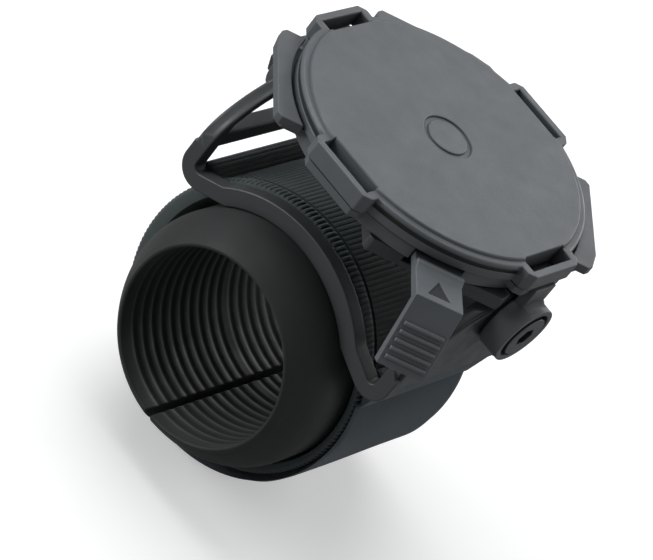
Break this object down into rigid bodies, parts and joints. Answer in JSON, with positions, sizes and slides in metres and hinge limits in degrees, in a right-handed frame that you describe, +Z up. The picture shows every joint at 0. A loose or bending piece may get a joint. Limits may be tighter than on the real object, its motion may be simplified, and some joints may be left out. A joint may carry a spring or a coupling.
{
  "type": "bicycle phone mount",
  "caption": "Strap-on handlebar phone mount: split rubber sleeve, saddle and strap carry a tilting round bayonet disc with eared slots and a sprung release lever.",
  "frame": {"origin": "on the handlebar's axis, under the centre of the disc", "axes": "+X along the handlebar, +Y forwards away from the rider, +Z up and square to the disc"},
  "size_m": [0.0579, 0.0616, 0.0682],
  "materials": {
    "rubber": "soft matt",
    "frame_plastic": "fine moulded grain",
    "head_plastic": "fine moulded grain",
    "lever_plastic": "fine moulded grain",
    "webbing": "ribbed webbing",
    "tail_webbing": "smooth close weave",
    "hook_tape": "hook tape",
    "steel": "plain",
    "dark_steel": "black oxide",
    "brass": "plain"
  },
  "bodies": {
    "base": {"bar_sleeve": "rubber", "saddle_frame": "frame_plastic", "pivot_bushes": "brass", "strap_pins": "dark_steel", "strap_belt": "webbing", "hook_patch": "hook_tape", "strap_tail": "tail_webbing", "tail_tab": "rubber"},
    "head": {"lower_housing": "frame_plastic", "carrier_plate": "head_plastic", "lever_pin": "steel", "lever_spring": "steel", "damping_ring": "rubber", "lock_disc": "head_plastic", "grip_ring": "rubber", "thread_inserts": "brass", "head_screws": "steel", "spacer_tube": "steel", "friction_washers": "rubber", "tilt_bolt": "dark_steel", "tilt_nut": "dark_steel"},
    "lever": {"release_lever": "lever_plastic"}
  },
  "joints": [
    {"name": "head_tilt", "type": "hinge", "parent": "base", "child": "head", "pos_m": [0, 0, 0.03], "axis": [0, 1, 0], "range_deg": [-15, 15]},
    {"name": "lever_press", "type": "hinge", "parent": "head", "child": "lever", "pos_m": [-0.0145, -0.0145, 0.038], "axis": [0.7071, -0.7071, 0], "range_deg": [0, 9], "stiffness_Nm_per_rad": 0.05}
  ]
}
